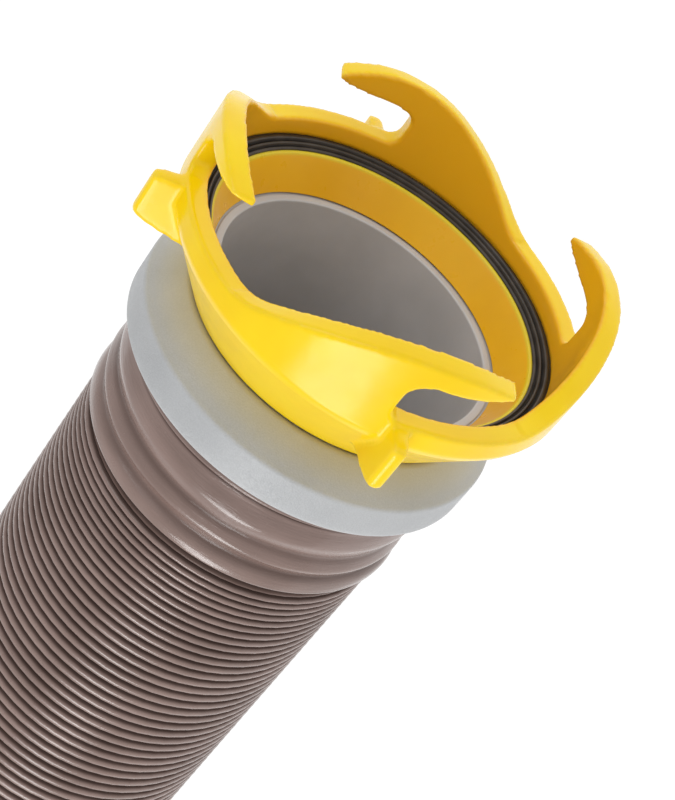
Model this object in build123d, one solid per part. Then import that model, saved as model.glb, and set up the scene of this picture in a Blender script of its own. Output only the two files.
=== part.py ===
"""Sewer hose kit for a caravan: spiral-wire hose, swivel bayonet fitting, swivel lug fitting.

Millimetres.  The hose lies along X with its bayonet mouth facing +X, and +Z is up.  The origin
is the centre of the bayonet's seal plane.  Each fitting is modelled about its own Z axis, with
its mouth towards +Z, and is then laid along X.
"""
import os
from math import cos, pi, radians, sin, tan

from build123d import *

os.makedirs("parts", exist_ok=True)

# ---- driving dimensions --------------------------------------------------------------------
bore_radius = 38.1            # 3 inch way through the fittings
socket_radius = 50.5          # inner wall of the bayonet, round the seal
wall_radius = 56.2            # outer wall of the bayonet and of the lug ring
rim_height = 5.25             # bayonet rim above the seal plane
blank_height = 27.0           # the hooks are cut from a wall this high
top_fall = 0.9                # the hooks' top faces fall by this much across the wall
under_rise = 1.9              # and their undersides rise by this much
arm_end = 30.5                # angle an arm spans past its slot's end, before its flat end
arm_reach = 25.0              # flat end of an arm, from the radius at its slot's end
hose_radius = 45.7            # over the ribs of the closed hose
film_thickness = 1.6          # hose wall with its ribs closed up
overall_length = 990.0        # whole kit, with the hose closed up
fit = 0.3                     # gap between parts that turn on each other

# swivel, measured down from the front of the swivel seat
throat_top = -1.9             # front edge of the throat insert
throat_mouth = 46.6           # its outside radius there
throat_rear = 40.7            # its inside radius at the adapter tube
seat_level = -3.2             # shelf that carries the seal
groove_radius = 51.3          # undercut that holds the seal's rim
rim_front = -12.0             # front edge of the adapter tube, and rear of the throat insert
flange_front = -12.4          # front face of the adapter flange
flange_thickness = 2.4
flange_radius = 42.2
ledge_level = -15.1           # ring ledge behind the adapter flange
tube_radius = 40.4            # adapter tube, outside
ring_bore = 40.8              # rear bore of the swivel ring
ring_rear = -20.5
ring_rear_radius = 41.8

# locking collar, hose barb and cuff
collar_front = -20.8
collar_shoulder = -27.8
collar_rear = -38.5
collar_radius = 51.0
collar_bore = 48.5
disc_radius = 48.4
disc_front = -29.0
disc_rear = -33.5
snap_rear = -35.1
snap_groove_radius = 49.6
barb_radius = 42.2
barb_crest = 43.0
barb_rear = -66.0             # rear of the barb, and of the adapter tube in it
cuff_rear = -70.0
cuff_inner = 43.1
wire_radius = 0.8             # spring steel wire of the hose
wire_circle = 44.3            # radius of the wire's end turn

# lug fitting
lug_shift = 18.0              # its swivel sits this much further back
nose_radius = 49.0
spigot_radius = 49.6          # front of the nose, which a socket or seal grips
spigot_rear = -5.5
lug_level = -10.8             # middle of a lug, from the nose
lug_height = 9.4
lug_width = 13.0
lug_radius = 54.3

# positions along X
hook_crest = 24.9
lug_origin = hook_crest - overall_length
hose_start = cuff_rear
hose_end = lug_origin + lug_shift - cuff_rear
floor_drop = wall_radius - hose_radius

# angles round the mouth, from +Y towards +Z
hook_root_angle = -51.0       # where the first slot ends; the other three follow at 90 degrees
fin_from_root = 4.6           # a finger tab's middle, from the slot's end

mouth_plane = Plane(origin=(0, 0, 0), x_dir=(0, 1, 0), z_dir=(1, 0, 0))
lug_plane = Plane(origin=(lug_origin, 0, 0), x_dir=(0, 1, 0), z_dir=(-1, 0, 0))


# ---- helpers -------------------------------------------------------------------------------
def turned(points):
    """A solid of revolution about Z from an outline of (radius, height) points."""
    outline = Plane.XZ * make_face(Polyline(*points, close=True))
    return revolve(outline, Axis.Z, 360)


def tube(inner, outer, low, high):
    """A plain ring between two radii and two heights."""
    return turned([(inner, low), (outer, low), (outer, high), (inner, high)])


def radial_window(stations):
    """A tool through the wall, from stations round the axis: an angle, then the low and high
    heights at the socket wall, then the low and high heights at the outer wall."""
    near = socket_radius - 4.0
    far = wall_radius + 5.0
    sections = []
    for angle, inner_low, inner_high, outer_low, outer_high in stations:
        low_slope = (outer_low - inner_low) / (wall_radius - socket_radius)
        high_slope = (outer_high - inner_high) / (wall_radius - socket_radius)
        half_plane = Plane(
            origin=(0, 0, 0),
            x_dir=(cos(radians(angle)), sin(radians(angle)), 0),
            z_dir=(sin(radians(angle)), -cos(radians(angle)), 0),
        )
        outline = Polyline(
            (near, inner_low + low_slope * (near - socket_radius)),
            (far, inner_low + low_slope * (far - socket_radius)),
            (far, inner_high + high_slope * (far - socket_radius)),
            (near, inner_high + high_slope * (near - socket_radius)),
            close=True,
        )
        sections.append(half_plane * make_face(outline))
    return loft(sections, ruled=True)


def around(shape, count=4):
    """Copies of a shape spread evenly round Z."""
    return [Rot(0, 0, index * 360.0 / count) * shape for index in range(count)]


# ---- bayonet fitting -----------------------------------------------------------------------
def hook_window():
    """The space above the rim and over one hook, whose slot ends at angle 0."""
    over = blank_height + 6.0
    step_count = 36
    fall_from = 8.0
    rim = Line((arm_end - 90.0, rim_height), (-52.0, rim_height))
    hook = Spline(
        (-52.0, rim_height),
        (-47.5, 5.7),
        (-44.0, 6.5),
        (-41.0, 7.7),
        (-37.0, 10.0),
        (-32.5, 12.6),
        (-27.0, 15.6),
        (-19.0, 19.2),
        (-9.0, 22.8),
        (0.0, 24.5),
        (8.0, hook_crest),
        (16.0, 24.4),
        (23.0, 22.9),
        (arm_end, 20.8),
        tangents=[(1, 0), (3, -1)],
    )
    places = [rim @ 0, *(hook @ (index / step_count) for index in range(step_count + 1))]
    stations = []
    for place in places:
        share = min(max((place.Y - rim_height) / fall_from, 0.0), 1.0)
        stations.append((place.X, place.Y, over, place.Y - top_fall * share, over))
    return radial_window(stations)


def slot_window():
    """The slot under one hook's arm: rounded at its end, and wider towards the arm's tip."""
    over = blank_height + 6.0
    outline = [
        (0.0, 8.3, 13.0),
        (0.6, 6.9, 14.4),
        (2.2, 5.6, 15.6),
        (5.5, rim_height, 16.2),
        (12.0, rim_height, 16.3),
        (16.0, rim_height, 16.5),
        (20.0, rim_height, 17.0),
        (24.5, rim_height, 17.9),
        (29.2, rim_height, 19.4),
        (arm_end, rim_height, 19.7),
    ]
    stations = [
        (angle, low, high, low, high + under_rise * min(angle / 5.5, 1.0))
        for angle, low, high in outline
    ]
    stations.append((arm_end + 0.1, rim_height, over, rim_height, over))
    return radial_window(stations)


def arm_end_cut():
    """The flat end of one hook's arm, square to the slot's end and not to the wall."""
    height = blank_height - rim_height
    low_corner = (40.0, arm_reach, rim_height)
    return Pos(*low_corner) * Box(20.0, 6.0, height, align=(Align.MIN, Align.MIN, Align.MIN))


def finger_fin():
    """One finger tab: a rounded radial plate from the rim to the cone, thinner at its edge."""
    root_radius = 46.0
    edge_radius = 63.9
    edge_round = 1.3
    outline = Polyline(
        (53.0, 4.9),
        (edge_radius, 3.7),
        (edge_radius, -9.3),
        (61.0, -10.4),
        (root_radius, -12.6),
        (53.0, -3.6),
        close=True,
    )
    plate = extrude(Plane.XZ * make_face(outline), amount=4.0, both=True)
    taper = Polyline(
        (root_radius, -3.3),
        (edge_radius, -1.8),
        (edge_radius, 1.8),
        (root_radius, 3.3),
        close=True,
    )
    plate = plate & extrude(make_face(taper), amount=20.0, both=True)
    outside = [edge for edge in plate.edges() if edge.center().X > 60.5]
    return fillet(outside, edge_round)


def swivel_shell(front_points, shift=0.0):
    """The turned ring that swivels on the adapter, with the given front outline."""
    rear_points = [
        (ring_rear_radius, ring_rear - shift),
        (ring_bore, ring_rear - shift),
        (ring_bore, ledge_level - shift),
        (flange_radius + fit, ledge_level - shift),
        (flange_radius + fit, rim_front - shift),
        (throat_mouth, seat_level - shift),
    ]
    return turned(front_points + rear_points)


def make_bayonet_ring():
    """Funnel-shaped ring with four hooks that face the same way round, and four finger tabs."""
    front = [
        (groove_radius, seat_level),
        (groove_radius, 0.0),
        (socket_radius, 0.0),
        (socket_radius, blank_height),
        (wall_radius, blank_height),
        (wall_radius, -0.6),
        (wall_radius - 0.8, -2.2),
    ]
    ring = swivel_shell(front)
    ring -= around(hook_window())
    ring -= around(slot_window())
    ring -= around(arm_end_cut())
    ring += around(Rot(0, 0, fin_from_root) * finger_fin())
    return Rot(0, 0, hook_root_angle) * ring


def make_throat_insert(shift=0.0):
    """Thin cone pressed into the ring: it holds the adapter flange and steadies the seal."""
    lip = throat_mouth - 0.9
    return turned([
        (lip, throat_top - shift),
        (throat_mouth, throat_top - shift),
        (throat_mouth, seat_level - shift),
        (flange_radius + fit, rim_front - shift),
        (throat_rear, rim_front - shift),
        (lip - 0.7, seat_level - shift),
    ])


def make_lip_seal():
    """Rubber gasket: a flat foot in the seat with three sealing ridges, highest at the wall."""
    return turned([
        (throat_mouth, seat_level),
        (groove_radius, seat_level),
        (groove_radius, -0.5),
        (socket_radius, -0.5),
        (50.1, -0.1),
        (49.5, -0.2),
        (49.1, -1.0),
        (48.6, -0.5),
        (48.2, -0.6),
        (47.8, -1.5),
        (47.3, -1.1),
        (46.9, -1.2),
        (46.2, -1.7),
        (throat_mouth, throat_top),
    ])


# ---- shared end: adapter, barb, collar and cuff ---------------------------------------------
def make_adapter_tube(shift=0.0):
    """The gray tube through the swivel, with its captive flange and a groove for the O-ring."""
    return turned([
        (bore_radius, rim_front - shift),
        (tube_radius - 0.1, rim_front - shift),
        (tube_radius - 0.1, flange_front - shift),
        (flange_radius, flange_front - shift),
        (flange_radius, flange_front - flange_thickness - shift),
        (tube_radius, flange_front - flange_thickness - shift),
        (tube_radius, -16.6 - shift),
        (39.1, -16.6 - shift),
        (39.1, -18.4 - shift),
        (tube_radius, -18.4 - shift),
        (tube_radius, barb_rear - shift),
        (bore_radius, barb_rear - shift),
    ])


def make_swivel_o_ring(shift=0.0):
    """O-ring that seals the swivel."""
    section = Plane.XZ * (Pos(39.88, -17.5 - shift) * Circle(0.75))
    return revolve(section, Axis.Z, 360)


def make_hose_barb(shift=0.0):
    """Sleeve screwed on the adapter tube: a disc for the collar and a ridged barb for the cuff."""
    ridge_pitch = 6.0
    ridge_count = 5
    points = [
        (tube_radius, disc_front - shift),
        (disc_radius, disc_front - shift),
        (disc_radius, disc_rear - shift),
        (barb_radius, disc_rear - shift),
    ]
    for index in range(ridge_count):
        crest = -38.5 - index * ridge_pitch - shift
        points += [(barb_radius, crest + 2.2), (barb_crest, crest), (barb_radius, crest - 2.2)]
    points += [
        (barb_radius, barb_rear - shift),
        (tube_radius, barb_rear - shift),
    ]
    return turned(points)


def make_collar(shift=0.0):
    """Locking collar: conical front face, broad plain band, hollow behind for barb and cuff."""
    return turned([
        (41.0, collar_front - shift),
        (42.6, collar_front - shift),
        (collar_radius - 0.9, collar_shoulder + 0.7 - shift),
        (collar_radius, collar_shoulder - shift),
        (collar_radius, collar_rear + 0.9 - shift),
        (collar_radius - 0.9, collar_rear - shift),
        (collar_bore, collar_rear - shift),
        (collar_bore, snap_rear - shift),
        (snap_groove_radius, snap_rear - shift),
        (snap_groove_radius, disc_rear - shift),
        (collar_bore, disc_rear - shift),
        (collar_bore, disc_front - shift),
        (47.2, disc_front - shift),
        (41.0, -23.4 - shift),
    ])


def make_snap_ring(shift=0.0):
    """Split spring ring that keeps the barb's disc inside the collar."""
    ring = tube(46.6, snap_groove_radius, snap_rear - shift, disc_rear - shift)
    middle = (snap_rear + disc_rear) / 2 - shift
    gap = Pos(48.0, 0, middle) * Box(6.0, 7.0, 3.0)
    return ring - gap


def make_wire_end(shift=0.0):
    """End turn of the hose's spring wire, an open ring inside the cuff."""
    section = Plane.XZ * (Pos(wire_circle, -67.6 - shift) * Circle(wire_radius))
    return revolve(section, Axis.Z, 340)


def make_cuff(shift=0.0):
    """Hose end shrunk over the barb: a smooth sleeve with soft waves that end in a bulge."""
    front = disc_rear - 1.7 - shift
    rear = cuff_rear - shift
    outside = Spline(
        (hose_radius - 0.3, front),
        (hose_radius - 0.2, front - 4.0),
        (hose_radius + 0.3, front - 8.0),
        (hose_radius - 0.4, front - 12.5),
        (hose_radius + 0.4, front - 17.5),
        (hose_radius - 0.3, front - 22.5),
        (hose_radius + 0.7, front - 29.0),
        (hose_radius - 0.2, rear),
    )
    inside = Polyline(
        (hose_radius - 0.2, rear),
        (cuff_inner, rear),
        (cuff_inner, front),
        (hose_radius - 0.3, front),
    )
    sleeve = revolve(Plane.XZ * make_face(outside + inside), Axis.Z, 360)
    groove = Plane.XZ * (Pos(wire_circle, -67.6 - shift) * Circle(wire_radius))
    return sleeve - revolve(groove, Axis.Z, 360)


# ---- lug fitting ---------------------------------------------------------------------------
def make_lug_ring():
    """Ring that enters another bayonet: a plain nose with four lugs, a grip band and a cone."""
    shift = lug_shift
    front = [
        (throat_mouth, -0.8),
        (throat_mouth + 0.6, 0.0),
        (spigot_radius - 0.8, 0.0),
        (spigot_radius, -0.8),
        (spigot_radius, spigot_rear),
        (nose_radius, spigot_rear - 0.6),
        (nose_radius, -17.0),
        (wall_radius, -19.0),
        (wall_radius, -0.6 - shift - 6.0),
        (wall_radius - 0.8, -2.2 - shift - 6.0),
    ]
    ring = swivel_shell(front, shift)
    lug = Pos((nose_radius + lug_radius) / 2 - 0.5, 0, lug_level)
    lug *= Box(lug_radius - nose_radius + 1.0, lug_width, lug_height)
    lug = fillet(lug.edges().group_by(Axis.X)[-1], 1.5)
    outer_limit = Pos(0, 0, lug_level) * Cylinder(lug_radius, lug_height * 2)
    lug = lug & outer_limit
    grip = Pos(wall_radius + 0.2, 0, -21.5) * Cylinder(1.6, 5.0)
    ring -= around(grip, 24)
    ring += around(lug)
    return Rot(0, 0, 45.0) * ring


# ---- hose ----------------------------------------------------------------------------------
def hose_route():
    """Route of the closed hose: off the fittings' axis it settles down to the floor."""
    length = hose_start - hose_end
    end_run = 0.18 * length
    return [
        (hose_start, 0, 0),
        (hose_start - end_run, 0, 0),
        (hose_start - 2 * end_run, 0, -floor_drop),
        (hose_end + 2 * end_run, 0, -floor_drop),
        (hose_end + end_run, 0, 0),
        (hose_end, 0, 0),
    ]


def corner_radii(points):
    """The largest bend radius at each inner point: 0.45 of the shorter run beside it."""
    corners = [Vector(*point) for point in points]
    radii = []
    for before, here, after in zip(corners, corners[1:], corners[2:]):
        shorter = min((here - before).length, (after - here).length)
        turn = radians((here - before).get_angle(after - here))
        radii.append(0.45 * shorter / tan(turn / 2))
    return radii


def make_hose():
    """Closed spiral hose as a plain tube along its route."""
    route = hose_route()
    radii = corner_radii(route)
    path = FilletPolyline(*route, radius=radii)
    start = Plane(origin=route[0], x_dir=(0, 1, 0), z_dir=(-1, 0, 0))
    section = Circle(hose_radius) - Circle(hose_radius - film_thickness)
    hose = sweep(start * section, path=path)
    area = pi * (hose_radius**2 - (hose_radius - film_thickness) ** 2)
    print("hose radii", [round(radius) for radius in radii], "length", round(path.length, 1))
    print("hose volume over section times length", round(hose.volume / (area * path.length), 4))
    return hose


# ---- all nodes -----------------------------------------------------------------------------
def end_set(prefix, plane, shift):
    """The pieces that both fittings share, placed on a plane."""
    makers = {
        "adapter_tube": make_adapter_tube,
        "swivel_o_ring": make_swivel_o_ring,
        "hose_barb": make_hose_barb,
        "locking_collar": make_collar,
        "snap_ring": make_snap_ring,
        "wire_end_turn": make_wire_end,
        "hose_cuff": make_cuff,
    }
    return {f"{prefix}_{name}": plane * maker(shift) for name, maker in makers.items()}


nodes = {
    "bayonet_ring": mouth_plane * make_bayonet_ring(),
    "bayonet_throat_insert": mouth_plane * make_throat_insert(),
    "bayonet_lip_seal": mouth_plane * make_lip_seal(),
    "lug_ring": lug_plane * make_lug_ring(),
    "lug_throat_insert": lug_plane * make_throat_insert(lug_shift),
    "hose": make_hose(),
}
nodes.update(end_set("bayonet_end", mouth_plane, 0.0))
nodes.update(end_set("lug_end", lug_plane, lug_shift))

for name, shape in nodes.items():
    export_step(shape, f"parts/{name}.step")
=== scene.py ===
"""Looks for the sewer hose kit: spiral hose, bayonet fitting and lug fitting, built round the
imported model.  Metres, in the model's own frame: the hose lies along X, the bayonet's mouth faces
+X and +Z is up.  Outlines of turned pieces are in millimetres: (radius, depth), where depth is
measured from the front of a fitting's swivel seat towards its mouth."""
import math

import bmesh
import bpy
import numpy as np
from mathutils import Matrix, Vector


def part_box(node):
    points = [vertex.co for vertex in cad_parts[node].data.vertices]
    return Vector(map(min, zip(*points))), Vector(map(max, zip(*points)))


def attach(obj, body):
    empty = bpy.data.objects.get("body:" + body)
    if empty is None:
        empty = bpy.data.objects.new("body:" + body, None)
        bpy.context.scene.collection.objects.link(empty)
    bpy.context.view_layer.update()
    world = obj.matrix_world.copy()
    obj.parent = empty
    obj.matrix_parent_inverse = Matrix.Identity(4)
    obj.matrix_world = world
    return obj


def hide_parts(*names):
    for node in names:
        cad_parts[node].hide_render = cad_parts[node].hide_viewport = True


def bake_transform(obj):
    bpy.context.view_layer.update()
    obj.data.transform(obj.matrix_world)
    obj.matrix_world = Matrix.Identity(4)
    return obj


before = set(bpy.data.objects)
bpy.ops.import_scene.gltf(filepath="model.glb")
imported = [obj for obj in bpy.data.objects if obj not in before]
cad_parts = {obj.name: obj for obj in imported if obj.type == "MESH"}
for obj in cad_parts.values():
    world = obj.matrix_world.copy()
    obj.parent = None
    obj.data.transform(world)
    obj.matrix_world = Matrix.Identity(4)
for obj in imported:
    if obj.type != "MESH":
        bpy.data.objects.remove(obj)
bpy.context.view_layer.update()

MM = 0.001
scene = bpy.context.scene


def corners(node):
    """Lowest and highest corner of a node, as vectors."""
    low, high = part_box(node)
    return Vector(low), Vector(high)


# ---- sizes read from the model ---------------------------------------------------------------
collar_low, collar_high = corners("bayonet_end_locking_collar")
lug_collar_low = corners("lug_end_locking_collar")[0]
cuff_low, cuff_high = corners("bayonet_end_hose_cuff")
lug_cuff_high = corners("lug_end_hose_cuff")[1]
floor_z = corners("lug_ring")[0].z
collar_radius = collar_high.z / MM
collar_front = collar_high.x / MM
collar_rear = collar_low.x / MM
cuff_front = cuff_high.x / MM
cuff_rear = cuff_low.x / MM
lug_seat = lug_collar_low.x + collar_high.x
hose_start = cuff_low.x
hose_end = lug_cuff_high.x
hose_radius = 45.7 * MM
floor_drop = floor_z + hose_radius
SEATS = {"bayonet": (0.0, 1.0), "lug": (lug_seat, -1.0)}


# ---- camera ----------------------------------------------------------------------------------
CAMERA_RIGHT = (0.5002, -0.6485, -0.5738)
CAMERA_BACK = (0.5917, -0.2279, 0.7733)
CAMERA_PLACE = (0.2686, -0.1277, 0.3969)


def make_camera():
    """Looks into the mouth from the front, above and to one side, rolled over."""
    right = Vector(CAMERA_RIGHT).normalized()
    back = Vector(CAMERA_BACK).normalized()
    up = back.cross(right).normalized()
    right = up.cross(back)
    data = bpy.data.cameras.new("camera")
    data.lens = 90.0
    data.sensor_width = 36.0
    data.sensor_fit = "AUTO"
    data.clip_start = 0.01
    camera = bpy.data.objects.new("camera", data)
    scene.collection.objects.link(camera)
    turn = Matrix((right, up, back)).transposed().to_4x4()
    camera.matrix_world = Matrix.Translation(CAMERA_PLACE) @ turn
    scene.camera = camera


make_camera()


# ---- mesh helpers ----------------------------------------------------------------------------
def new_object(name, vertices, faces, smooth=True):
    """A mesh object with outward normals."""
    data = bpy.data.meshes.new(name)
    data.from_pydata(vertices, [], faces)
    shape = bmesh.new()
    shape.from_mesh(data)
    bmesh.ops.recalc_face_normals(shape, faces=shape.faces)
    shape.to_mesh(data)
    shape.free()
    if smooth:
        data.shade_smooth()
    else:
        data.shade_flat()
    result = bpy.data.objects.new(name, data)
    scene.collection.objects.link(result)
    return result


def rounded(points, radius, steps=4):
    """A closed outline whose corners are rounded off."""
    result = []
    count = len(points)
    for index, here in enumerate(points):
        corner = Vector(here)
        before = Vector(points[index - 1]) - corner
        after = Vector(points[(index + 1) % count]) - corner
        cut_before = min(radius, 0.45 * before.length)
        cut_after = min(radius, 0.45 * after.length)
        first = corner + before.normalized() * cut_before
        last = corner + after.normalized() * cut_after
        for step in range(steps + 1):
            t = step / steps
            point = first * (1 - t) ** 2 + corner * 2 * t * (1 - t) + last * t * t
            result.append((point.x, point.y))
    return result


def lathe(name, outline, fitting, segments=160, shift=None):
    """A ring turned about X from a closed (radius, depth) outline; shift(angle, radius, depth)
    gives the millimetres to add to a point's radius and depth."""
    seat, sign = SEATS[fitting]
    vertices = []
    for index in range(segments):
        angle = 2 * math.pi * index / segments
        for radius, depth in outline:
            extra_radius, extra_depth = shift(angle, radius, depth) if shift else (0.0, 0.0)
            r = (radius + extra_radius) * MM
            x = seat + sign * (depth + extra_depth) * MM
            vertices.append((x, r * math.cos(angle), r * math.sin(angle)))
    rows = len(outline)
    faces = []
    for index in range(segments):
        here = index * rows
        there = (index + 1) % segments * rows
        for row in range(rows):
            up = (row + 1) % rows
            faces.append((here + row, here + up, there + up, there + row))
    ring = new_object(name, vertices, faces)
    ring.modifiers.new("even_shading", "WEIGHTED_NORMAL")
    return ring


def moulded_copy(name, node, fitting, grain, passes, walls):
    """The node's shape with its edges rounded as in a mould: fine voxels, then smoothing, and
    vertices near a wall, a line from one (radius, depth) to another, are put back on it."""
    piece = bpy.data.objects.new(name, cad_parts[node].data.copy())
    scene.collection.objects.link(piece)
    piece.data.materials.clear()
    remesh = piece.modifiers.new("voxels", "REMESH")
    remesh.mode = "VOXEL"
    remesh.voxel_size = grain * 1.0
    smooth = piece.modifiers.new("smooth", "SMOOTH")
    smooth.factor = 0.5
    smooth.iterations = passes
    depsgraph = bpy.context.evaluated_depsgraph_get()
    final = bpy.data.meshes.new_from_object(piece.evaluated_get(depsgraph))
    piece.modifiers.clear()
    piece.data = final
    seat, sign = SEATS[fitting]
    places = np.empty(len(final.vertices) * 3, np.float32)
    final.vertices.foreach_get("co", places)
    places = places.reshape(-1, 3).astype(float)
    normals = np.empty(len(final.vertices) * 3, np.float32)
    final.vertex_normals.foreach_get("vector", normals)
    normals = normals.reshape(-1, 3)
    radius = np.hypot(places[:, 1], places[:, 2])
    outwards = places[:, 1:] / radius[:, None]
    facing = np.stack([(normals[:, 1:] * outwards).sum(1), normals[:, 0] * sign], 1)
    section = np.stack([radius, (places[:, 0] - seat) * sign], 1)
    for start, end in walls:
        start = np.array(start) * MM
        end = np.array(end) * MM
        along = (end - start) / np.linalg.norm(end - start)
        across = np.array([along[1], -along[0]])
        offset = (section - start) @ across
        travel = (section - start) @ along
        near = np.abs(offset) < SNAP_REACH
        near &= (travel > 0) & (travel < np.linalg.norm(end - start))
        flat = np.clip((np.abs(facing @ across) - FLAT_FROM) / FLAT_SPAN, 0.0, 1.0)
        section -= np.where(near, offset * flat, 0.0)[:, None] * across
    places[:, 1:] = outwards * section[:, :1]
    places[:, 0] = seat + sign * section[:, 1]
    final.vertices.foreach_set("co", places.astype(np.float32).ravel())
    # Painted shade and yellow bounce light: faces turned towards the axis get this share of a
    # deeper, warmer yellow.
    inward_shade = final.attributes.new("inward_shade", "FLOAT", "POINT")
    inward_shade_amount = np.clip(-INWARD_SHADE_GAIN * facing[:, 0], 0.0, 1.0)
    inward_shade.data.foreach_set("value", inward_shade_amount.astype(np.float32))
    final.update()
    final.shade_smooth()
    return piece


def paint(piece, fitting, name, value):
    """Stores value(radius, depth, angle) on the mesh for a material to read."""
    seat, sign = SEATS[fitting]
    places = [vertex.co for vertex in piece.data.vertices]
    values = [
        value(math.hypot(co.y, co.z) / MM, (co.x - seat) * sign / MM, math.atan2(co.z, co.y))
        for co in places
    ]
    layer = piece.data.attributes.new(name, "FLOAT", "POINT")
    layer.data.foreach_set("value", values)


def dress(piece, body, material, slot, *nodes):
    """Material, body and the nodes that a piece stands for; slot is not used."""
    piece.data.materials.clear()
    piece.data.materials.append(material)
    if body:
        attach(piece, body)
    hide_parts(*nodes)


# ---- material helpers ------------------------------------------------------------------------
class Shader:
    """A Principled material with short calls for its nodes."""

    def __init__(self, name, roughness=0.4, **sockets):
        self.material = bpy.data.materials.new(name)
        self.material.use_nodes = True
        self.nodes = self.material.node_tree.nodes
        self.links = self.material.node_tree.links
        self.shader = self.nodes["Principled BSDF"]
        self.place = self.nodes.new("ShaderNodeTexCoord").outputs["Object"]
        self.set("Roughness", roughness)
        for socket, value in sockets.items():
            self.set(socket.replace("_", " "), value)

    def set(self, socket, value):
        self.shader.inputs[socket].default_value = value

    def link(self, output, socket):
        self.links.new(output, self.shader.inputs[socket])

    def noise(self, scale, detail=3.0, stretch=None):
        """Noise in space; stretch scales its X, Y and Z."""
        texture = self.nodes.new("ShaderNodeTexNoise")
        texture.inputs["Scale"].default_value = scale
        texture.inputs["Detail"].default_value = detail
        source = self.place
        if stretch:
            mapping = self.nodes.new("ShaderNodeMapping")
            mapping.inputs["Scale"].default_value = stretch
            self.links.new(self.place, mapping.inputs["Vector"])
            source = mapping.outputs["Vector"]
        self.links.new(source, texture.inputs["Vector"])
        return texture.outputs["Fac"]

    def ramp(self, source, stops):
        """Colours along a value from 0 to 1."""
        ramp = self.nodes.new("ShaderNodeValToRGB")
        points = ramp.color_ramp.elements
        for index, (place, colour) in enumerate(stops):
            point = points[index] if index < 2 else points.new(place)
            point.position = place
            point.color = (*colour, 1.0)
        self.links.new(source, ramp.inputs["Fac"])
        return ramp.outputs["Color"]

    def spread(self, source, low, high, start=0.3, end=0.7):
        """A value from start..end spread to low..high."""
        ranged = self.nodes.new("ShaderNodeMapRange")
        ranged.inputs["From Min"].default_value = start
        ranged.inputs["From Max"].default_value = end
        ranged.inputs["To Min"].default_value = low
        ranged.inputs["To Max"].default_value = high
        self.links.new(source, ranged.inputs["Value"])
        return ranged.outputs["Result"]

    def mix(self, factor, first, second, kind="MIX"):
        """Two colours mixed by a factor; each is a colour or an output."""
        mixed = self.nodes.new("ShaderNodeMix")
        mixed.data_type = "RGBA"
        mixed.blend_type = kind
        for socket, value in (("Factor", factor), ("A", first), ("B", second)):
            target = next(s for s in mixed.inputs if s.name == socket and s.enabled)
            if isinstance(value, bpy.types.NodeSocket):
                self.links.new(value, target)
            else:
                target.default_value = value if socket == "Factor" else (*value, 1.0)
        return next(s for s in mixed.outputs if s.enabled)

    def bump(self, height, strength, depth):
        """Height added to the surface, depth in metres."""
        bump = self.nodes.new("ShaderNodeBump")
        bump.inputs["Strength"].default_value = strength
        bump.inputs["Distance"].default_value = depth
        self.links.new(height, bump.inputs["Height"])
        self.link(bump.outputs["Normal"], "Normal")

    def edges(self):
        """Pointiness: above 0.5 on outer edges and below it in grooves."""
        return self.nodes.new("ShaderNodeNewGeometry").outputs["Pointiness"]

    def attribute(self, name):
        """A value stored on the mesh."""
        node = self.nodes.new("ShaderNodeAttribute")
        node.attribute_name = name
        return node.outputs["Fac"]


# ---- materials -------------------------------------------------------------------------------
def yellow_plastic(name, deep, bright, shade_colour, roughness, lip=None):
    """Moulded polypropylene: slight clouding, painted shade and yellow bounce light where it faces
    inwards, a painted highlight that makes outer edges paler, and a fine orange-peel skin."""
    s = Shader(name, roughness)
    s.set("Specular IOR Level", 0.32)
    s.set("Subsurface Weight", 0.12)
    s.set("Subsurface Radius", (0.004, 0.0022, 0.0004))
    s.set("Subsurface Scale", 0.6)
    clouds = s.ramp(s.noise(38.0, 4.0), [(0.35, deep), (0.65, bright)])
    # Painted highlight: outer edges (high pointiness) are mixed towards a paler yellow.
    edge_highlight = s.spread(s.edges(), 0.0, 0.25, 0.52, 0.60)
    pale = tuple(0.8 * value + 0.2 for value in bright)
    # Painted shade and yellow bounce light on inward faces.
    shaded = s.mix(s.attribute("inward_shade"), clouds, shade_colour)
    colour = s.mix(edge_highlight, shaded, pale)
    # Painted highlight: the throat's lip takes a lighter, greener yellow.
    if lip:
        colour = s.mix(s.attribute("lip"), colour, lip)
    s.link(colour, "Base Color")
    s.link(s.spread(s.noise(220.0, 3.0), roughness - 0.04, roughness + 0.07), "Roughness")
    s.bump(s.noise(1100.0, 2.0), 0.05, 0.0001)
    return s.material


def gray_tube():
    """Satin gray plastic with faint drag lines round the bore."""
    s = Shader("gray_tube", 0.34)
    s.link(
        s.ramp(s.noise(60.0, 4.0), [(0.3, (0.50, 0.51, 0.525)), (0.7, (0.57, 0.58, 0.60))]),
        "Base Color",
    )
    s.link(s.spread(s.noise(300.0), 0.28, 0.40), "Roughness")
    s.bump(s.noise(500.0, 2.0, stretch=(6.0, 1.0, 1.0)), 0.1, 0.0001)
    return s.material


def frosted_collar():
    """Frosted gray plastic, a little translucent, with a fine matt speckle and painted yellow
    bounce light from the yellow ring that sits against it."""
    s = Shader("frosted_collar", 0.5)
    s.set("Subsurface Weight", 0.35)
    s.set("Subsurface Radius", (0.009, 0.009, 0.0085))
    s.set("Subsurface Scale", 0.7)
    tone = s.ramp(s.noise(45.0, 3.0), [(0.3, (0.41, 0.42, 0.43)), (0.7, (0.46, 0.47, 0.48))])
    speckle = s.ramp(
        s.noise(2600.0, 2.0), [(0.42, (0.93, 0.93, 0.93)), (0.62, (1.0, 1.0, 1.0))]
    )
    frosted = s.mix(1.0, tone, speckle, "MULTIPLY")
    # Painted yellow bounce light from the ring, mixed into the base colour.
    s.link(s.mix(s.attribute("yellow_bounce"), frosted, (0.62, 0.50, 0.12)), "Base Color")
    s.link(s.spread(s.noise(900.0), 0.42, 0.58), "Roughness")
    s.bump(s.noise(2200.0, 3.0), 0.35, 0.0002)
    return s.material


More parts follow.
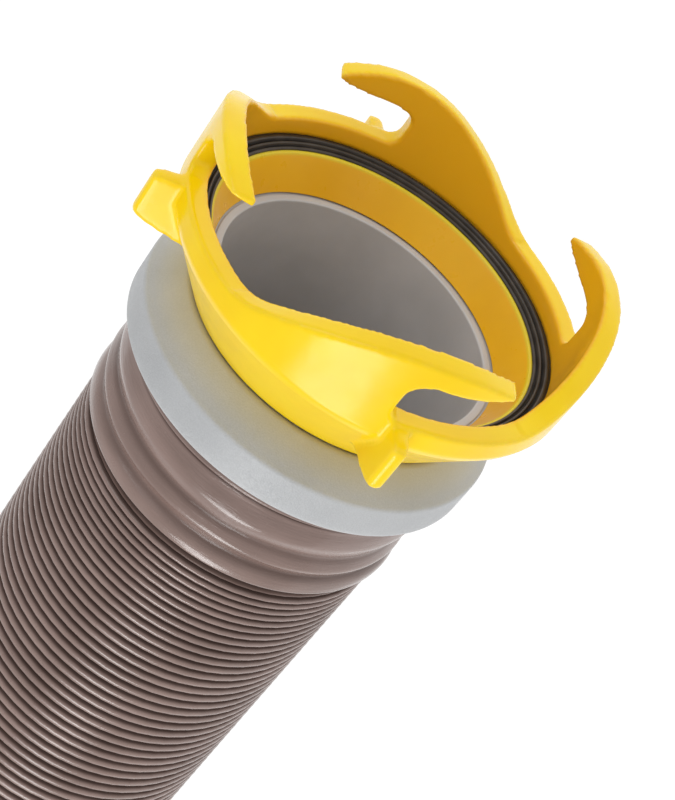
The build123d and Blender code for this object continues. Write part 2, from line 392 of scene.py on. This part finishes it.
def black_rubber():
    """Moulded rubber with a soft bloom and painted shade that darkens its grooves."""
    s = Shader("black_rubber", 0.38)
    bloom = s.ramp(
        s.noise(150.0, 4.0), [(0.35, (0.030, 0.026, 0.023)), (0.7, (0.060, 0.052, 0.045))]
    )
    # Painted shade: concave places (low pointiness) are darkened towards black.
    groove = s.spread(s.edges(), 1.0, 0.0, 0.40, 0.50)
    s.link(s.mix(groove, bloom, (0.006, 0.006, 0.006)), "Base Color")
    s.link(s.spread(s.noise(700.0), 0.30, 0.46), "Roughness")
    s.bump(s.noise(1800.0, 2.0), 0.2, 0.0001)
    return s.material


VINYL = [(0.3, (0.200, 0.132, 0.112)), (0.7, (0.262, 0.178, 0.154))]


def hose_vinyl():
    """Glossy brown vinyl film over the wire, with painted shade where two ribs meet: darker there
    and without gloss.
    """
    s = Shader("hose_vinyl", 0.26)
    s.set("Coat Roughness", 0.14)
    groove = s.attribute("groove")
    tone = s.ramp(s.noise(55.0, 4.0), VINYL)
    # Painted shade: the base colour goes nearly black in the grooves.
    s.link(s.mix(groove, tone, (0.004, 0.0016, 0.0012)), "Base Color")
    s.link(s.spread(groove, 0.55, 0.0, 0.0, 0.5), "Specular IOR Level")
    s.link(s.spread(groove, 0.35, 0.0, 0.0, 0.35), "Coat Weight")
    s.link(s.spread(s.noise(260.0), 0.20, 0.34), "Roughness")
    s.bump(s.noise(700.0, 3.0), 0.10, 0.00015)
    return s.material


def cuff_vinyl():
    """The same vinyl shrunk tight: glossier, with painted shade in its creases and fine lines
    round it.
    """
    s = Shader("cuff_vinyl", 0.22)
    s.set("Coat Roughness", 0.10)
    groove = s.attribute("groove")
    tone = s.ramp(s.noise(40.0, 4.0, stretch=(4.0, 1.0, 1.0)), VINYL)
    # Painted shade: the base colour darkens in the creases.
    s.link(s.mix(groove, tone, (0.012, 0.006, 0.005)), "Base Color")
    s.link(s.spread(groove, 0.5, 0.0, 0.0, 0.8), "Specular IOR Level")
    s.link(s.spread(groove, 0.45, 0.0, 0.0, 0.5), "Coat Weight")
    s.link(s.spread(s.noise(160.0), 0.16, 0.30), "Roughness")
    s.bump(s.noise(220.0, 4.0, stretch=(9.0, 1.0, 1.0)), 0.30, 0.0004)
    return s.material


def spring_steel():
    """Bright drawn wire with a fine grain."""
    s = Shader("spring_steel", 0.3, Metallic=1.0)
    s.link(
        s.ramp(s.noise(400.0, 3.0), [(0.3, (0.42, 0.42, 0.43)), (0.7, (0.60, 0.60, 0.61))]),
        "Base Color",
    )
    s.link(s.spread(s.noise(900.0), 0.22, 0.38), "Roughness")
    s.bump(s.noise(2500.0, 2.0), 0.15, 0.00005)
    return s.material


# Deeper, warmer yellow painted on inward faces as shade and yellow bounce light.
SHADED_BOUNCE_YELLOW = (0.90, 0.47, 0.010)
# Lighter, greener yellow painted on the throat's lip as a highlight.
THROAT_LIP_HIGHLIGHT = (0.80, 0.62, 0.03)
yellow = yellow_plastic(
    "yellow_plastic", (0.90, 0.60, 0.002), (0.95, 0.67, 0.003), SHADED_BOUNCE_YELLOW, 0.20
)
# The throat's yellow: a copy of the ring's yellow made deeper and more orange, as painted shade
# and yellow bounce light.
shaded_yellow = yellow_plastic(
    "yellow_insert", (0.84, 0.44, 0.012), (0.92, 0.51, 0.016), SHADED_BOUNCE_YELLOW, 0.30, THROAT_LIP_HIGHLIGHT
)
tube_gray = gray_tube()
collar_gray = frosted_collar()
rubber = black_rubber()
vinyl = hose_vinyl()
vinyl_cuff = cuff_vinyl()
steel = spring_steel()


# ---- hose ------------------------------------------------------------------------------------
def hose_route():
    """The hose's route: it leaves one fitting, rests on the floor and rises to the other."""
    length = hose_start - hose_end
    end_run = 0.18 * length
    return [
        (hose_start, 0, 0),
        (hose_start - end_run, 0, 0),
        (hose_start - 2 * end_run, 0, floor_drop),
        (hose_end + 2 * end_run, 0, floor_drop),
        (hose_end + end_run, 0, 0),
        (hose_end, 0, 0),
    ]


def route_line(points):
    """Points read from the smooth spline that the route's points control."""
    data = bpy.data.curves.new("hose_line", "CURVE")
    data.dimensions = "3D"
    data.resolution_u = 40
    spline = data.splines.new("NURBS")
    spline.points.add(len(points) - 1)
    for point, place in zip(spline.points, points):
        point.co = (*place, 1.0)
    spline.order_u = 3
    spline.use_endpoint_u = True
    curve = bpy.data.objects.new("hose_line", data)
    scene.collection.objects.link(curve)
    bpy.context.view_layer.update()
    depsgraph = bpy.context.evaluated_depsgraph_get()
    mesh = bpy.data.meshes.new_from_object(curve.evaluated_get(depsgraph))
    line = np.array([vertex.co for vertex in mesh.vertices])
    bpy.data.objects.remove(curve)
    bpy.data.meshes.remove(mesh)
    return line


def smoothstep(value):
    t = min(max(value, 0.0), 1.0)
    return t * t * (3 - 2 * t)


RIB_PITCH = 3.85 * MM
PITCH_DROP = 1.6 * MM
PITCH_REACH = 32.0 * MM
RIB = [(0.0, -1.9), (0.14, -0.70), (0.30, -0.13), (0.5, 0.0), (0.70, -0.13), (0.86, -0.70)]
# Painted shade along each rib's profile: full in the groove, fading up the flanks.
GROOVE_SHADE = [1.0, 0.60, 0.08, 0.0, 0.08, 0.60]
HOSE_INNER = 43.6 * MM
HOSE_BUTT = 44.2 * MM
RIB_RAMP = 4.6 * MM
# Painted shadow where the ribs rise from a cuff (ramp) and on the end rings (butt).
RAMP_SHADE = 0.9
BUTT_SHADE = 0.8
BUTT_SHARE = 0.15
STATION_STEPS = 2000
LINING_STEPS = 100
PATH_STEPS = 240


def make_hose(segments=60):
    """Film over a helix of wire: one helical strip of ribs outside, a plain lining inside."""
    line = route_line(hose_route())
    steps = np.linalg.norm(np.diff(line, axis=0), axis=1)
    travelled = np.concatenate([[0.0], np.cumsum(steps)])
    length = float(travelled[-1])
    slopes = np.gradient(line, travelled, axis=0)

    def ring_point(s, radius, angle):
        centre = np.array([np.interp(s, travelled, line[:, k]) for k in range(3)])
        ahead = np.array([np.interp(s, travelled, slopes[:, k]) for k in range(3)])
        ahead /= np.linalg.norm(ahead)
        above = np.array([ahead[2], 0.0, -ahead[0]])
        return centre + radius * (math.cos(angle) * np.array([0, 1, 0]) + math.sin(angle) * above)

    # The ribs lie closer together near a cuff; turn_at counts them along the hose.
    stations = np.linspace(0.0, length, STATION_STEPS + 1)
    closer = np.exp(-stations / PITCH_REACH) + np.exp((stations - length) / PITCH_REACH)
    density = 1.0 / (RIB_PITCH - PITCH_DROP * closer)
    turn_at = np.concatenate([[0.0], np.cumsum((density[1:] + density[:-1]) / 2)])
    turns = round(float(turn_at[-1]) * length / STATION_STEPS)
    turn_at *= turns / turn_at[-1]
    butt = BUTT_SHARE * length / turns
    per_turn = len(RIB)
    rows = turns * per_turn
    angles = [2 * math.pi * index / segments for index in range(segments)]
    vertices = []
    groove = []

    def add(s, radius, angle, dark):
        vertices.append(ring_point(s, radius, angle))
        groove.append(dark)
        return len(vertices) - 1

    first = [add(0.0, HOSE_BUTT, angle, BUTT_SHADE) for angle in angles]
    last = [add(length, HOSE_BUTT, angle, BUTT_SHADE) for angle in angles]
    strip = {}
    for row in range(-per_turn, rows):
        share, drop = RIB[row % per_turn]
        whole = row // per_turn
        for index in range(segments):
            s = float(np.interp(whole + share + index / segments, turn_at, stations))
            if s <= butt:
                strip[row, index] = first[index]
            elif s >= length - butt:
                strip[row, index] = last[index]
            else:
                rise = smoothstep(min(s, length - s) / RIB_RAMP)
                radius = HOSE_BUTT + (hose_radius + drop * MM - HOSE_BUTT) * rise
                # Painted shade: the groove's, or the shadow where the ribs rise from a cuff.
                dark = max(GROOVE_SHADE[row % per_turn], RAMP_SHADE - rise)
                strip[row, index] = add(s, radius, angles[index], dark)

    def at(row, index):
        """Past the last segment the strip goes on as the next turn."""
        row, index = (row + per_turn, 0) if index == segments else (row, index)
        return strip.get((row, index), last[index])

    faces = []
    for row in range(-per_turn, rows):
        for index in range(segments):
            ring = [at(row, index), at(row, index + 1), at(row + 1, index + 1), at(row + 1, index)]
            ring = [v for k, v in enumerate(ring) if v != ring[k - 1]]
            if len(set(ring)) >= 3:
                faces.append(tuple(ring))

    rings = []
    for step in range(LINING_STEPS + 1):
        s = length * step / LINING_STEPS
        rings.append([add(s, HOSE_INNER, angle, 0.0) for angle in angles])
    for here, there in [(first, rings[0]), *zip(rings, rings[1:]), (rings[-1], last)]:
        for index in range(segments):
            after = (index + 1) % segments
            faces.append((here[index], there[index], there[after], here[after]))

    hose = new_object("ribbed_hose", [tuple(v) for v in vertices], faces)
    # Stores the painted shade for the vinyl material.
    values = hose.data.attributes.new("groove", "FLOAT", "POINT")
    values.data.foreach_set("value", np.array(groove, np.float32))
    path = [ring_point(s, 0.0, 0.0) for s in np.linspace(0.0, length, PATH_STEPS + 1)]
    dress(hose, None, vinyl, "hose_vinyl", "hose")
    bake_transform(hose)
    return hose, path, length


hose, hose_path, hose_length = make_hose()


# ---- turned pieces ---------------------------------------------------------------------------
THROAT_TOP = -1.9
THROAT_MOUTH = 46.6
THROAT_REAR = 40.7
THROAT_REAR_OUTER = 42.5
SEAT_LEVEL = -3.2
SOCKET = 50.5
GROOVE_RADIUS = 51.3
BORE = 38.1
TUBE = 40.4
RIM_FRONT = -12.0
TUBE_REAR = -66.0
FLANGE = 42.2
FLANGE_FRONT = -12.4
FLANGE_REAR = -14.8
O_RING_GROOVE = 39.1
O_RING_FRONT = -16.6
O_RING_REAR = -18.4
COLLAR_BORE = 41.0
DISC_ROOM = 48.5
SNAP_GROOVE = 49.6
SNAP_FRONT = -33.5
SNAP_REAR = -35.1


def lip_seal():
    """Gasket with three ridges, the highest next to the wall."""
    outline = rounded([
        (THROAT_MOUTH, SEAT_LEVEL),
        (GROOVE_RADIUS, SEAT_LEVEL),
        (GROOVE_RADIUS, -0.6),
        (50.4, -0.6),
        (50.0, -0.1),
        (49.2, -0.1),
        (48.75, -1.5),
        (48.45, -1.5),
        (48.2, -0.5),
        (47.65, -0.6),
        (47.35, -1.8),
        (47.1, -1.8),
        (46.85, -1.1),
        (46.25, -1.3),
        (46.1, -1.85),
        (THROAT_MOUTH, -2.1),
    ], 0.35)
    seal = lathe("ridged_seal", outline, "bayonet", 224)
    dress(seal, "bayonet", rubber, "black_rubber", "bayonet_lip_seal")


def lip_highlight_share(radius, depth, angle):
    """Share of the painted lip highlight: full at the throat's mouth and gone a little way behind
    it.
    """
    return smoothstep((depth + 2.9) / 0.8)


def throat_insert(fitting, body, node):
    """Thin cone with a rounded lip at its mouth."""
    outline = rounded([
        (THROAT_MOUTH - 1.0, THROAT_TOP),
        (THROAT_MOUTH, THROAT_TOP),
        (THROAT_MOUTH, SEAT_LEVEL),
        (THROAT_REAR_OUTER, RIM_FRONT),
        (THROAT_REAR, RIM_FRONT),
        (THROAT_MOUTH - 1.7, SEAT_LEVEL),
    ], 0.45)
    insert = lathe(f"{fitting}_throat_cone", outline, fitting, 192)
    # Stores the share of the painted lip highlight.
    paint(insert, fitting, "lip", lip_highlight_share)
    dress(insert, body, shaded_yellow, "yellow_insert", node)


def adapter_tube(fitting, body, node):
    """Gray tube with a rounded front rim, its flange and the O-ring groove."""
    outline = rounded([
        (BORE, RIM_FRONT),
        (TUBE - 0.1, RIM_FRONT),
        (TUBE - 0.1, FLANGE_FRONT),
        (FLANGE, FLANGE_FRONT),
        (FLANGE, FLANGE_REAR),
        (TUBE, FLANGE_REAR),
        (TUBE, O_RING_FRONT),
        (O_RING_GROOVE, O_RING_FRONT),
        (O_RING_GROOVE, O_RING_REAR),
        (TUBE, O_RING_REAR),
        (TUBE, TUBE_REAR),
        (BORE, TUBE_REAR),
    ], 0.6)
    tube = lathe(f"{fitting}_gray_tube", outline, fitting, 176)
    dress(tube, body, tube_gray, "gray_tube", node)


def yellow_bounce_share(radius, depth, angle):
    """How much painted yellow bounce light from the ring the collar takes, most where the ring is
    close.
    """
    return 0.4 * smoothstep((46.0 - radius) / 4.0)


def locking_collar(fitting, body, node):
    """Frosted collar: conical face, broad band, hollow behind."""
    outline = rounded([
        (COLLAR_BORE, collar_front),
        (42.6, collar_front),
        (collar_radius - 1.2, -27.3),
        (collar_radius, -28.2),
        (collar_radius, collar_rear),
        (DISC_ROOM, collar_rear),
        (DISC_ROOM, SNAP_REAR),
        (SNAP_GROOVE, SNAP_REAR),
        (SNAP_GROOVE, SNAP_FRONT),
        (DISC_ROOM, SNAP_FRONT),
        (DISC_ROOM, -29.0),
        (47.2, -29.0),
        (COLLAR_BORE, -23.4),
    ], 0.9, 6)
    collar = lathe(f"{fitting}_frosted_collar", outline, fitting, 192)
    # Stores the painted yellow bounce light for the collar.
    paint(collar, fitting, "yellow_bounce", yellow_bounce_share)
    dress(collar, body, collar_gray, "gray_collar", node)


CUFF_WAVES = [
    (-35.2, 45.4),
    (-39.0, 45.4),
    (-42.3, 45.8),
    (-43.7, 46.1),
    (-44.7, 44.9),
    (-46.0, 45.0),
    (-49.0, 46.0),
    (-51.5, 46.35),
    (-54.0, 45.6),
    (-56.3, 44.8),
    (-58.0, 45.5),
    (-60.5, 46.3),
    (-62.3, 45.4),
    (-63.8, 45.0),
    (-66.0, 46.3),
    (-68.0, 46.7),
    (-69.3, 46.3),
    (-70.0, 44.9),
]
CUFF_INNER = 43.1
# Painted shade in the creases: depth, width and strength.
CREASE_SHADES = [(-35.6, 0.5, 0.8), (-44.9, 0.5, 0.9), (-56.4, 1.6, 0.45), (-63.9, 1.3, 0.5)]


def crease_shade(radius, depth, angle):
    """Painted shade in the creases, deepest as a painted shadow at the cuff's rear edge where the
    first rib begins.
    """
    wander = cuff_shift(angle, radius, depth)[1]
    level = depth - wander
    dark = smoothstep((-69.1 - depth) / 0.8)
    for middle, width, amount in CREASE_SHADES:
        strength = amount * (0.65 + 0.35 * math.sin(angle + middle))
        dark = max(dark, strength * math.exp(-(((level - middle) / width) ** 2)))
    return dark


def cuff_line(rows=96):
    """Evenly spaced points on a smooth curve through the cuff's waves."""
    stations = np.array(CUFF_WAVES)
    depth = stations[::-1, 0]
    radius = stations[::-1, 1]
    slope = np.gradient(radius, depth)
    result = []
    for level in np.linspace(depth[-1], depth[0], rows):
        k = min(max(int(np.searchsorted(depth, level)) - 1, 0), len(depth) - 2)
        gap = depth[k + 1] - depth[k]
        t = (level - depth[k]) / gap
        value = (
            radius[k] * (2 * t**3 - 3 * t**2 + 1)
            + radius[k + 1] * (3 * t**2 - 2 * t**3)
            + gap * slope[k] * (t**3 - 2 * t**2 + t)
            + gap * slope[k + 1] * (t**3 - t**2)
        )
        result.append((float(value), float(level)))
    return result


def cuff_shift(angle, radius, depth):
    """Film drawn down unevenly: waves wander along the cuff and fade in and out round it."""
    if radius < CUFF_INNER + 0.5:
        return 0.0, 0.0
    inside = smoothstep((cuff_front - depth) / 6.0) * smoothstep((depth - cuff_rear) / 4.0)
    wander = 0.55 * math.sin(angle + 0.6) + 0.35 * math.sin(2 * angle + 1.9)
    swell = 0.16 * math.sin(3 * angle + depth / 3.1) + 0.10 * math.sin(5 * angle - depth / 2.3)
    return swell * inside, wander * inside


def hose_cuff(fitting, body, node):
    """Vinyl end shrunk over the barb, in soft uneven waves."""
    outline = cuff_line() + [(CUFF_INNER, cuff_rear), (CUFF_INNER, cuff_front)]
    cuff = lathe(f"{fitting}_shrunk_cuff", outline, fitting, 160, cuff_shift)
    # Stores the painted crease shade for the cuff's vinyl.
    paint(cuff, fitting, "groove", crease_shade)
    dress(cuff, body, vinyl_cuff, "hose_vinyl", node)


lip_seal()
for fitting in SEATS:
    throat_insert(fitting, fitting, f"{fitting}_throat_insert")
for fitting in SEATS:
    body = f"{fitting}_end"
    adapter_tube(fitting, body, f"{body}_adapter_tube")
    locking_collar(fitting, body, f"{body}_locking_collar")
    hose_cuff(fitting, body, f"{body}_hose_cuff")

# ---- moulded rings ---------------------------------------------------------------------------
WALL_RADIUS = -floor_z / MM
RIM_HEIGHT = 5.25
RING_BORE = 41.8
RING_REAR = -20.5
SNAP_REACH = 0.5 * MM
FLAT_FROM = 0.90
FLAT_SPAN = 0.09
# Strength of the painted inward shade.
INWARD_SHADE_GAIN = 1.3
BAYONET_WALLS = [
    ((WALL_RADIUS, -0.6), (WALL_RADIUS, 26.0)),
    ((SOCKET, 26.0), (SOCKET, 0.0)),
    ((SOCKET + 0.9, RIM_HEIGHT), (WALL_RADIUS - 0.9, RIM_HEIGHT)),
    ((RING_BORE, RING_REAR), (WALL_RADIUS - 0.8, -2.2)),
]
LUG_WALLS = [
    ((WALL_RADIUS, -6.6), (WALL_RADIUS, -1.0)),
    ((RING_BORE, RING_REAR), (WALL_RADIUS - 0.8, -8.2)),
]
bayonet_ring = moulded_copy(
    "moulded_bayonet", "bayonet_ring", "bayonet", 0.65 * MM, 10, BAYONET_WALLS
)
dress(bayonet_ring, "bayonet", yellow, "yellow_plastic", "bayonet_ring")
lug_ring = moulded_copy("moulded_lug_ring", "lug_ring", "lug", 0.7 * MM, 8, LUG_WALLS)
dress(lug_ring, "lug", yellow, "yellow_plastic", "lug_ring")

# ---- pieces kept from the model --------------------------------------------------------------
KEPT = {
    "swivel_o_ring": rubber,
    "hose_barb": tube_gray,
    "snap_ring": steel,
    "wire_end_turn": steel,
}
for fitting in SEATS:
    for piece, material in KEPT.items():
        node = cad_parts[f"{fitting}_end_{piece}"]
        for slot in node.material_slots:
            slot.material = material


# ---- floor, light and background -------------------------------------------------------------
FLOOR_HALF = 9.0


def make_floor():
    """Plain pale floor that glows a little, as a light table does."""
    square = [(-1, -1), (1, -1), (1, 1), (-1, 1)]
    floor_corners = [(x * FLOOR_HALF, y * FLOOR_HALF, floor_z) for x, y in square]
    floor = new_object("floor", floor_corners, [(0, 1, 2, 3)], smooth=False)
    s = Shader("pale_floor", 0.9)
    s.set("Base Color", (0.1, 0.1, 0.1, 1.0))
    s.set("Emission Color", (1.0, 1.0, 1.0, 1.0))
    s.set("Emission Strength", 0.97)
    s.set("Specular IOR Level", 0.0)
    floor.data.materials.append(s.material)


def soft_box(name, direction, distance, width, height, power):
    """An area light that faces the bayonet from a direction."""
    data = bpy.data.lights.new(name, "AREA")
    data.shape = "RECTANGLE"
    data.size = width
    data.size_y = height
    data.energy = power
    light = bpy.data.objects.new(name, data)
    scene.collection.objects.link(light)
    towards = Vector(direction).normalized()
    light.location = towards * distance
    light.rotation_euler = towards.to_track_quat("Z", "Y").to_euler()


make_floor()
soft_box("key", (-0.62, -0.42, 0.68), 1.3, 0.5, 0.8, 8.0)
soft_box("fill", (0.85, 0.5, 0.7), 1.6, 1.0, 1.0, 5.0)
world = bpy.data.worlds.new("studio")
scene.world = world
world.use_nodes = True
world.node_tree.nodes["Background"].inputs["Color"].default_value = (1.0, 1.0, 1.0, 1.0)
world.node_tree.nodes["Background"].inputs["Strength"].default_value = 0.7
scene.view_settings.view_transform = "Standard"
